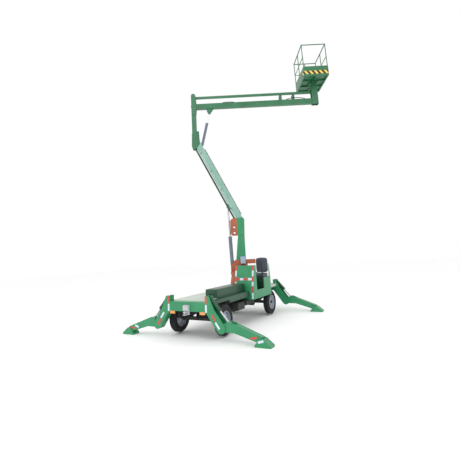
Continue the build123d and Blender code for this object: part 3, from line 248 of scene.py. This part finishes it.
def studs(name, spots, axis, radius, height, material, body, sides=6):
    """Bolt heads at the given points, one mesh."""
    axis = Vector(axis).normalized()
    side = axis.orthogonal().normalized()
    up = axis.cross(side)
    verts, faces = [], []
    for spot in spots:
        base = len(verts)
        for level in (0.0, height):
            for i in range(sides):
                turn = 2 * math.pi * i / sides
                verts.append(spot + axis * level + (side * math.cos(turn) + up * math.sin(turn)) * radius)
        faces.append(tuple(base + i for i in reversed(range(sides))))
        faces.append(tuple(base + sides + i for i in range(sides)))
        for i in range(sides):
            j = (i + 1) % sides
            faces.append((base + i, base + j, base + sides + j, base + sides + i))
    return mesh_object(name, verts, faces, material, body)


# Tyre tread: rows of blocks round each tyre, and rings on its walls.
BLOCKS = 60
BLOCK_HEIGHT = 0.007
BLOCK_SINK = 0.002
BLOCK_SHARE = 0.80
BLOCK_SKEW = 0.012
ROWS = ((-0.036, 0.022, 0.0), (0.0, 0.024, 0.5), (0.036, 0.022, 0.0))
WALL_RINGS = (0.232, 0.262, 0.292)
WALL_RING_STEPS = 48
WALL_RING_THICK = 0.0022

# Wheel nuts, dark windows and hub cover, with the distance of each from the middle plane of the wheel.
NUTS = 6
NUT_CIRCLE = 0.088
NUT_FACE = 0.016
NUT_RADIUS = 0.013
NUT_HEIGHT = 0.018
WINDOWS = 8
WINDOW_CIRCLE = 0.132
WINDOW_FACE = 0.0165
WINDOW_RADIUS = 0.017
WINDOW_THICK = 0.0035
HUB_FACE = 0.046
HUB_RADIUS = 0.052
HUB_THICK = 0.006


def wheel_circle(centre, radius, y, count, phase=0.0):
    """Points on a circle round the axle, at y from the middle plane of the wheel."""
    turns = (2 * math.pi * (i + phase) / count for i in range(count))
    return [centre + Vector((radius * math.sin(turn), y, radius * math.cos(turn))) for turn in turns]


def tread(name, x, side):
    """Blocks, wall rings, nuts, windows and hub cover of one wheel."""
    centre = at(x, side * HALF_TRACK, AXLE_Z)
    body = "wheel_" + name
    span = 2 * math.pi / BLOCKS * BLOCK_SHARE
    verts, faces = [], []
    for row, width, phase in ROWS:
        near, far = row - width / 2, row + width / 2
        for i in range(BLOCKS):
            start = 2 * math.pi * (i + phase) / BLOCKS
            outline = ((start, near), (start + span, near),
                       (start + span + BLOCK_SKEW, far), (start + BLOCK_SKEW, far))
            corners = []
            for radius in (TYRE_RADIUS - BLOCK_SINK, TYRE_RADIUS + BLOCK_HEIGHT):
                for turn, y in outline:
                    corners.append(centre + Vector((radius * math.sin(turn), y, radius * math.cos(turn))))
            box_mesh(verts, faces, corners)
    mesh_object("tread_" + name, verts, faces, LOOKS["tyre_rubber"], body)
    for face_side in (-1, 1):
        for radius in WALL_RINGS:
            ring = wheel_circle(centre, radius, face_side * TYRE_HALF, WALL_RING_STEPS)
            tube("wall_ring_" + name, ring + ring[:1], WALL_RING_THICK, LOOKS["tyre_rubber"], body,
                 smooth=False)
    out = (0, side, 0)
    nuts = wheel_circle(centre, NUT_CIRCLE, side * NUT_FACE, NUTS)
    studs("wheel_nuts_" + name, nuts, out, NUT_RADIUS, NUT_HEIGHT, STEEL, body)
    windows = wheel_circle(centre, WINDOW_CIRCLE, side * WINDOW_FACE, WINDOWS, 0.5)
    studs("wheel_windows_" + name, windows, out, WINDOW_RADIUS, WINDOW_THICK, LOOKS["frame_black"], body,
          sides=16)
    studs("hub_cover_" + name, [centre + Vector((0, side * HUB_FACE, 0))], out, HUB_RADIUS, HUB_THICK,
          LOOKS["frame_black"], body, sides=24)


for wheel, wheel_x, wheel_side in (("front_left", 0, 1), ("front_right", 0, -1),
                                   ("rear_left", -WHEELBASE, 1), ("rear_right", -WHEELBASE, -1)):
    tread(wheel, wheel_x, wheel_side)

# Reflective tape on the outriggers: distance from the middle plane, height, length, colour, and, on the
# legs, how far it stands off the thighs' face.
TAPE_WIDTH = 0.048
TAPE_THICK = 0.0012
THIGH_LEAN = math.radians(36.8)
LEG_LEAN = math.radians(105.5)
STRIP_TAPES = ((0.540, 0.890, 0.165, TAPE_RED), (0.540, 0.705, 0.165, TAPE_WHITE))
LEAN_TAPES = {"left": ((0.730, 0.519, 0.150, TAPE_RED), (0.825, 0.357, 0.165, TAPE_WHITE)),
              "right": ((0.739, 0.518, 0.165, TAPE_WHITE), (0.837, 0.363, 0.150, TAPE_RED))}
LEG_INSET = -0.018
SHOE_OUTSET = 0.020
LEG_TAPES = {
    "left": ((1.678, 0.165, 0.150, TAPE_RED, LEG_INSET), (1.850, 0.115, 0.130, TAPE_WHITE, SHOE_OUTSET)),
    "right": ((1.604, 0.209, 0.130, TAPE_WHITE, LEG_INSET), (1.762, 0.169, 0.150, TAPE_RED, LEG_INSET)),
}
FRONT_FACE = 0.571
REAR_FACE = -3.785
FACES = ((FRONT_FACE, 1, "front"), (REAR_FACE, -1, "rear"))


def side_tape(name, face, toward, side, spot, lean, body):
    """Strip on a front or rear face of an outrigger."""
    y, z, length, paint = spot
    along = (0, -side * math.sin(lean), math.cos(lean))
    across = (0, math.cos(lean), side * math.sin(lean))
    plate(name, at(face, side * y, z), along, across, (toward, 0, 0), length, TAPE_WIDTH, TAPE_THICK, paint,
          body, "light_grey_paint")


for face_x, toward, end in FACES:
    for side, hand in ((1, "left"), (-1, "right")):
        for i, spot in enumerate(STRIP_TAPES):
            side_tape(f"post_tape_{end}_{hand}_{i}", face_x, toward, side, spot, 0.0, "chassis")
        for i, spot in enumerate(LEAN_TAPES[hand]):
            side_tape(f"thigh_tape_{end}_{hand}_{i}", face_x, toward, side, spot, THIGH_LEAN, "chassis")
        for i, (y, z, length, paint, stand) in enumerate(LEG_TAPES[hand]):
            side_tape(f"leg_tape_{end}_{hand}_{i}", face_x + toward * stand, toward, side,
                      (y, z, length, paint), LEG_LEAN, f"leg_{end}_{hand}")

# Tape on the leaning cowl.
COWL_LOW = 0.617
COWL_HIGH = 1.540
COWL_BOTTOM_X = -1.546
COWL_TOP_X = -1.698
COWL_BULGE = 0.018
STRIP_STEPS = 6
STRIP_UNDER = 0.0003
STRIP_OVER = 0.0015
RIGHT_EDGE = (0.152, 0.205)
LEFT_EDGE = (0.692, 0.745)
CROSS_HEIGHTS = (1.130, 1.195)


def cowl_x(z):
    """X of the cowl's bulging face at a height."""
    share = (z - COWL_LOW) / (COWL_HIGH - COWL_LOW)
    return COWL_BOTTOM_X + (COWL_TOP_X - COWL_BOTTOM_X) * share + COWL_BULGE * (1 - (2 * share - 1) ** 2)


def cowl_strip(name, y0, y1, z0, z1, paint):
    """Strip of tape that follows the cowl's face."""
    verts, faces = [], []
    for i in range(STRIP_STEPS + 1):
        z = z0 + (z1 - z0) * i / STRIP_STEPS
        for lift in (STRIP_UNDER, STRIP_OVER):
            for y in (y0, y1):
                verts.append(at(cowl_x(z) + lift, y, z))
    for i in range(STRIP_STEPS):
        a, b = 4 * i, 4 * i + 4
        faces += [(a + 2, a + 3, b + 3, b + 2), (a, a + 2, b + 2, b)]
        faces += [(a + 3, a + 1, b + 1, b + 3), (a + 1, a, b, b + 1)]
    last = 4 * STRIP_STEPS
    faces += [(0, 1, 3, 2), (last + 2, last + 3, last + 1, last)]
    mesh_object(name, verts, faces, paint, "chassis")


EDGE_STRIPS = ((0.630, 0.795, TAPE_WHITE), (0.822, 0.959, TAPE_RED), (0.973, 1.090, TAPE_WHITE),
               (1.096, 1.233, TAPE_RED), (1.240, 1.397, TAPE_WHITE), (1.405, 1.530, TAPE_RED))
for strip, (z0, z1, paint) in enumerate(EDGE_STRIPS):
    cowl_strip(f"cowl_tape_right_{strip}", *RIGHT_EDGE, z0, z1, paint)
    cowl_strip(f"cowl_tape_left_{strip}", *LEFT_EDGE, z0, z1, paint)
CROSS_STRIPS = ((0.210, 0.310, TAPE_RED), (0.312, 0.420, TAPE_WHITE), (0.422, 0.570, TAPE_RED),
                (0.572, 0.688, TAPE_WHITE))
for strip, (y0, y1, paint) in enumerate(CROSS_STRIPS):
    cowl_strip(f"cowl_tape_cross_{strip}", y0, y1, *CROSS_HEIGHTS, paint)

# Basket: slanted warning stripes on the near kick sheet and round its left corner.
STRIPE_HEIGHT = 0.120
STRIPE = 0.083
STRIPE_THICK = 0.0012
LEAST_STRIPE = 1e-4
STRIPE_RISE = 0.004
BASKET_HALF = 0.600
NEAR_HALF = 0.415
CORNER_LENGTH = 0.200


def stripes(name, start, along, normal, length):
    """Yellow and black slanted stripes, one mesh for each colour."""
    count = round(length / STRIPE)
    step = length / count
    up = Vector((0, 0, STRIPE_HEIGHT))
    for parity, paint in ((0, WARN_YELLOW), (1, WARN_BLACK)):
        verts, faces = [], []
        for i in range(-2, count + 1):
            if i % 2 != parity:
                continue
            edges = ((i + 1) * step, (i + 2) * step, i * step, (i + 1) * step)
            low0, low1, high0, high1 = (min(max(v, 0.0), length) for v in edges)
            if low1 - low0 < LEAST_STRIPE and high1 - high0 < LEAST_STRIPE:
                continue
            quad = [start + along * low0, start + along * low1,
                    start + along * high1 + up, start + along * high0 + up]
            box_mesh(verts, faces, quad + [v + normal * STRIPE_THICK for v in quad])
        mesh_object(f"{name}_{parity}", verts, faces, paint, "basket")


BOOM_DIR = Vector((math.cos(SLEW), math.sin(SLEW), 0))
NEAR_DIR = Vector((math.sin(SLEW), -math.cos(SLEW), 0))
FLOOR_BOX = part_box("basket_floor")
FLOOR_TOP = FLOOR_BOX[1][2]


def basket_point(s, t, height):
    """Point of the basket, height above its floor."""
    point = boom_at(s, t, 0)
    point.z = FLOOR_TOP + height
    return point


FLOOR_MIDDLE = (Vector(FLOOR_BOX[0]) + Vector(FLOOR_BOX[1])) / 2
S_NEAR = (FLOOR_MIDDLE - boom_at(0, 0, 0)).dot(BOOM_DIR) - NEAR_HALF
stripes("near_stripes", basket_point(S_NEAR, -BASKET_HALF, STRIPE_RISE), BOOM_DIR, NEAR_DIR, 2 * NEAR_HALF)
stripes("corner_stripes", basket_point(S_NEAR, CORNER_LENGTH - BASKET_HALF, STRIPE_RISE), NEAR_DIR, -BOOM_DIR,
        CORNER_LENGTH)

# Seat: cushion and backrest as soft pieces.
SEAT_LOW, SEAT_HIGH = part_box("seat")
SEAT_SPLIT = 1.270 - PIN_Z
BACK_THICK = 0.090
CUSHION_SETBACK = 0.024
CUSHION_THICK = 0.110
PUFF = 0.10
CORNER_ROUND = 0.16
CORNER_PROFILE = 0.6
SEAM_DEPTH = 0.03
SEAM_AT = 0.45
SEAM_WIDTH = 0.05


def soft_block(name, low, high, puff, body):
    """Cushion with rounded edges and a slightly domed, creased face."""
    mesh = bmesh.new()
    bmesh.ops.create_cube(mesh, size=1.0)
    bmesh.ops.bevel(mesh, geom=list(mesh.edges), offset=CORNER_ROUND, segments=3, affect="EDGES",
                    profile=CORNER_PROFILE)
    bmesh.ops.subdivide_edges(mesh, edges=list(mesh.edges), cuts=3, use_grid_fill=True)
    size = Vector(high) - Vector(low)
    middle = (Vector(high) + Vector(low)) / 2
    for vert in mesh.verts:
        x, y, _ = vert.co * 2
        dome = 1 - puff * (1 - (1 - min(1, y * y)) * (1 - min(1, x * x)))
        seam = 1 - SEAM_DEPTH * math.exp(-((abs(y) - SEAM_AT) / SEAM_WIDTH) ** 2)
        vert.co = Vector((vert.co.x * size.x * dome * seam + middle.x, vert.co.y * size.y + middle.y,
                          vert.co.z * size.z * dome * seam + middle.z))
    data = bpy.data.meshes.new(name)
    mesh.to_mesh(data)
    mesh.free()
    for face in data.polygons:
        face.use_smooth = True
    obj = bpy.data.objects.new(name, data)
    bpy.context.collection.objects.link(obj)
    data.materials.append(LOOKS["seat_vinyl"])
    rounded = obj.modifiers.new("soft", "SUBSURF")
    rounded.levels = 1
    rounded.render_levels = 2
    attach(obj, body)
    return obj


cushion = soft_block("seat_cushion", (SEAT_LOW[0] + CUSHION_SETBACK, SEAT_LOW[1], SEAT_SPLIT - CUSHION_THICK),
                     (SEAT_HIGH[0], SEAT_HIGH[1], SEAT_SPLIT), PUFF, "chassis")
soft_block("seat_back", (SEAT_LOW[0], SEAT_LOW[1], SEAT_SPLIT),
           (SEAT_LOW[0] + BACK_THICK, SEAT_HIGH[1], SEAT_HIGH[2]), PUFF, "chassis")
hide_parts("seat")

# Bolts of the slewing ring.
RING_BOLTS = 20
RING_CIRCLE = 0.268
RING_TOP = 1.3405
RING_BOLT = 0.012
ring_turns = [2 * math.pi * i / RING_BOLTS for i in range(RING_BOLTS)]
ring_spots = [boom_at(RING_CIRCLE * math.cos(a), RING_CIRCLE * math.sin(a), RING_TOP) for a in ring_turns]
studs("ring_bolts", ring_spots, (0, 0, 1), RING_BOLT, RING_BOLT, STEEL, "turntable")

# Hoses of the lower boom: a pale one in clips on its near face, whose pale colour also paints the highlight
# along the boom's lower edge, and a black pair along its upper face.
P1 = (0.131, 2.900)
BOOM_LEAN = math.radians(115.7)
PALE_LIFT = 0.062
PALE_OUT = -0.079
PALE_RADIUS = 0.009
PALE_STOPS = (0.47, 1.1, 1.9, 2.70)
BLACK_LIFT = -0.102
BLACK_GAP = 0.025
BLACK_SPREAD = 0.02
BLACK_RADIUS = 0.008
BLACK_STOPS = (0.20, 1.0, 2.0, 2.7)
CLIP_STOPS = (0.5, 1.2, 1.9, 2.6)
CLIP_OUT = -0.070
CLIP_SIZE = (0.03, 0.045, 0.020)


def on_boom(along, lift, t):
    """Point of the lower boom, along it from its foot pin and lift towards its lower face."""
    s = P1[0] + along * math.cos(BOOM_LEAN) - lift * math.sin(BOOM_LEAN)
    z = P1[1] + along * math.sin(BOOM_LEAN) + lift * math.cos(BOOM_LEAN)
    return boom_at(s, t, z)


# The pale hose is also a painted highlight along the lower boom's edge.
tube("boom_hose_highlight", [on_boom(a, PALE_LIFT, PALE_OUT) for a in PALE_STOPS], PALE_RADIUS, HOSE_PALE_HIGHLIGHT, "lower_boom")
for i in range(2):
    line = [on_boom(a, BLACK_LIFT - BLACK_GAP * i, BLACK_SPREAD * i) for a in BLACK_STOPS]
    tube(f"boom_pressure_hose_{i}", line, BLACK_RADIUS, HOSE_BLACK, "lower_boom")
along_boom = on_boom(1, 0, 0) - on_boom(0, 0, 0)
for clip in CLIP_STOPS:
    plate(f"hose_clip_{clip}", on_boom(clip, PALE_LIFT, CLIP_OUT), along_boom, (0, 0, 1), NEAR_DIR,
          *CLIP_SIZE, LOOKS["frame_black"], "lower_boom", "frame_black")

# Keeper bolts on the ends of the four boom pins: where each pin is, how far out it ends, and its body.
LOWER_LENGTH = 3.042
RISER_SETBACK = 0.064
RISER_HEIGHT = 1.265
UPPER_LENGTH = 4.197
P2 = (P1[0] + LOWER_LENGTH * math.cos(BOOM_LEAN), P1[1] + LOWER_LENGTH * math.sin(BOOM_LEAN))
P3 = (P2[0] - RISER_SETBACK, P2[1] + RISER_HEIGHT)
P4 = (P3[0] + UPPER_LENGTH, P3[1])
KEEPER_CIRCLE = 0.018
KEEPER_RADIUS = 0.006
KEEPER_HEIGHT = 0.005
PINS = {"foot": (P1, 0.098, "turntable"), "elbow": (P2, 0.098, "riser"),
        "shoulder": (P3, 0.098, "riser"), "wrist": (P4, 0.081, "basket")}
keeper_turns = [2 * math.pi * i / 3 for i in range(3)]
for pin, (spot, out, body) in PINS.items():
    for side in (-1, 1):
        bolts = [boom_at(spot[0] + KEEPER_CIRCLE * math.cos(a), side * out,
                         spot[1] + KEEPER_CIRCLE * math.sin(a)) for a in keeper_turns]
        studs(f"keeper_bolts_{pin}_{side}", bolts, -NEAR_DIR * side, KEEPER_RADIUS, KEEPER_HEIGHT, STEEL,
              body)

# Dark cable entry below the ground control box, and the hose that arches from the hood to the deck.
CONTROL_FOOT = 1.585
ENTRY_AT = (0.110, -0.135)
ENTRY_HEIGHT = 0.070
ENTRY_RADIUS = 0.034
HOOD_HOSE_RADIUS = 0.013
HOOD_HOSE_STOPS = ((-0.062, 0.300, 0.900), (0.080, 0.320, 0.985),
                   (0.240, 0.350, 0.960), (0.330, 0.380, 0.858))
studs("control_cable_entry", [boom_at(*ENTRY_AT, CONTROL_FOOT - ENTRY_HEIGHT)], (0, 0, 1), ENTRY_RADIUS,
      ENTRY_HEIGHT, HOSE_BLACK, "turntable", sides=16)
tube("hood_hose", [at(*v) for v in HOOD_HOSE_STOPS], HOOD_HOSE_RADIUS, HOSE_BLACK, "chassis")

# Short black hoses that arch beside the upper boom's link: first and last place along it, and height between.
GUIDE_HEIGHT = 0.170
BOOM_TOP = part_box("upper_boom")[1][2] - GUIDE_HEIGHT
UPPER_HOSES = ((-0.25, 0.15, 0.035), (1.95, 2.6, 0.110))
UPPER_HOSE_OUT = -0.054
UPPER_HOSE_RADIUS = 0.011
UPPER_HOSE_FOOT = 0.008
for i, (s0, s1, arch) in enumerate(UPPER_HOSES):
    line = [boom_at(s, UPPER_HOSE_OUT, 0) for s in (s0, (s0 + s1) / 2, s1)]
    for point, lift in zip(line, (UPPER_HOSE_FOOT, arch, UPPER_HOSE_FOOT)):
        point.z = BOOM_TOP + lift
    tube(f"upper_hose_{i}", line, UPPER_HOSE_RADIUS, HOSE_BLACK, "upper_boom")

# Floor, light and camera.
FLOOR_SIZE = 80
LAMP_SIZE = 8
KEY_POWER = 520
FILL_POWER = 180
AIM = (-2, 0, 2)
bpy.ops.mesh.primitive_plane_add(size=FLOOR_SIZE, location=(0, 0, GROUND))
floor = bpy.context.object
floor.name = "floor"
floor.data.materials.append(finish("floor", colour(252, 252, 252), colour(254, 254, 254), 0.9, bump=0.0))
world = bpy.data.worlds.new("studio")
world.use_nodes = True
world.node_tree.nodes["Background"].inputs["Color"].default_value = (1, 1, 1, 1)
world.node_tree.nodes["Background"].inputs["Strength"].default_value = 1.0
bpy.context.scene.world = world


def lamp(name, place, aim, size, power):
    """Square lamp that points at a place."""
    data = bpy.data.lights.new(name, "AREA")
    data.size = size
    data.energy = power
    obj = bpy.data.objects.new(name, data)
    bpy.context.collection.objects.link(obj)
    obj.location = place
    obj.rotation_euler = (Vector(aim) - Vector(place)).to_track_quat("-Z", "Y").to_euler()


lamp("key", (9, 0, 12), AIM, LAMP_SIZE, KEY_POWER)
lamp("fill", (6, 12, 8), AIM, LAMP_SIZE, FILL_POWER)

yaw, pitch, roll = (math.radians(v) for v in (CAMERA_YAW, CAMERA_PITCH, CAMERA_ROLL))
forward = Vector((math.cos(yaw) * math.cos(pitch), math.sin(yaw) * math.cos(pitch), math.sin(pitch)))
right = Vector((math.sin(yaw), -math.cos(yaw), 0))
up = right.cross(forward)
right, up = right * math.cos(roll) - up * math.sin(roll), right * math.sin(roll) + up * math.cos(roll)
camera_data = bpy.data.cameras.new("camera")
camera_data.sensor_width = 36.0
camera_data.lens = CAMERA_LENS
camera_data.shift_x = CAMERA_SHIFT_X
camera_data.shift_y = CAMERA_SHIFT_Y
camera = bpy.data.objects.new("camera", camera_data)
bpy.context.collection.objects.link(camera)
turn = Matrix((right, up, -forward)).transposed().to_4x4()
camera.matrix_world = Matrix.Translation(at(*CAMERA_AT)) @ turn
bpy.context.scene.camera = camera
bpy.context.scene.view_settings.view_transform = "Standard"

bpy.context.view_layer.update()
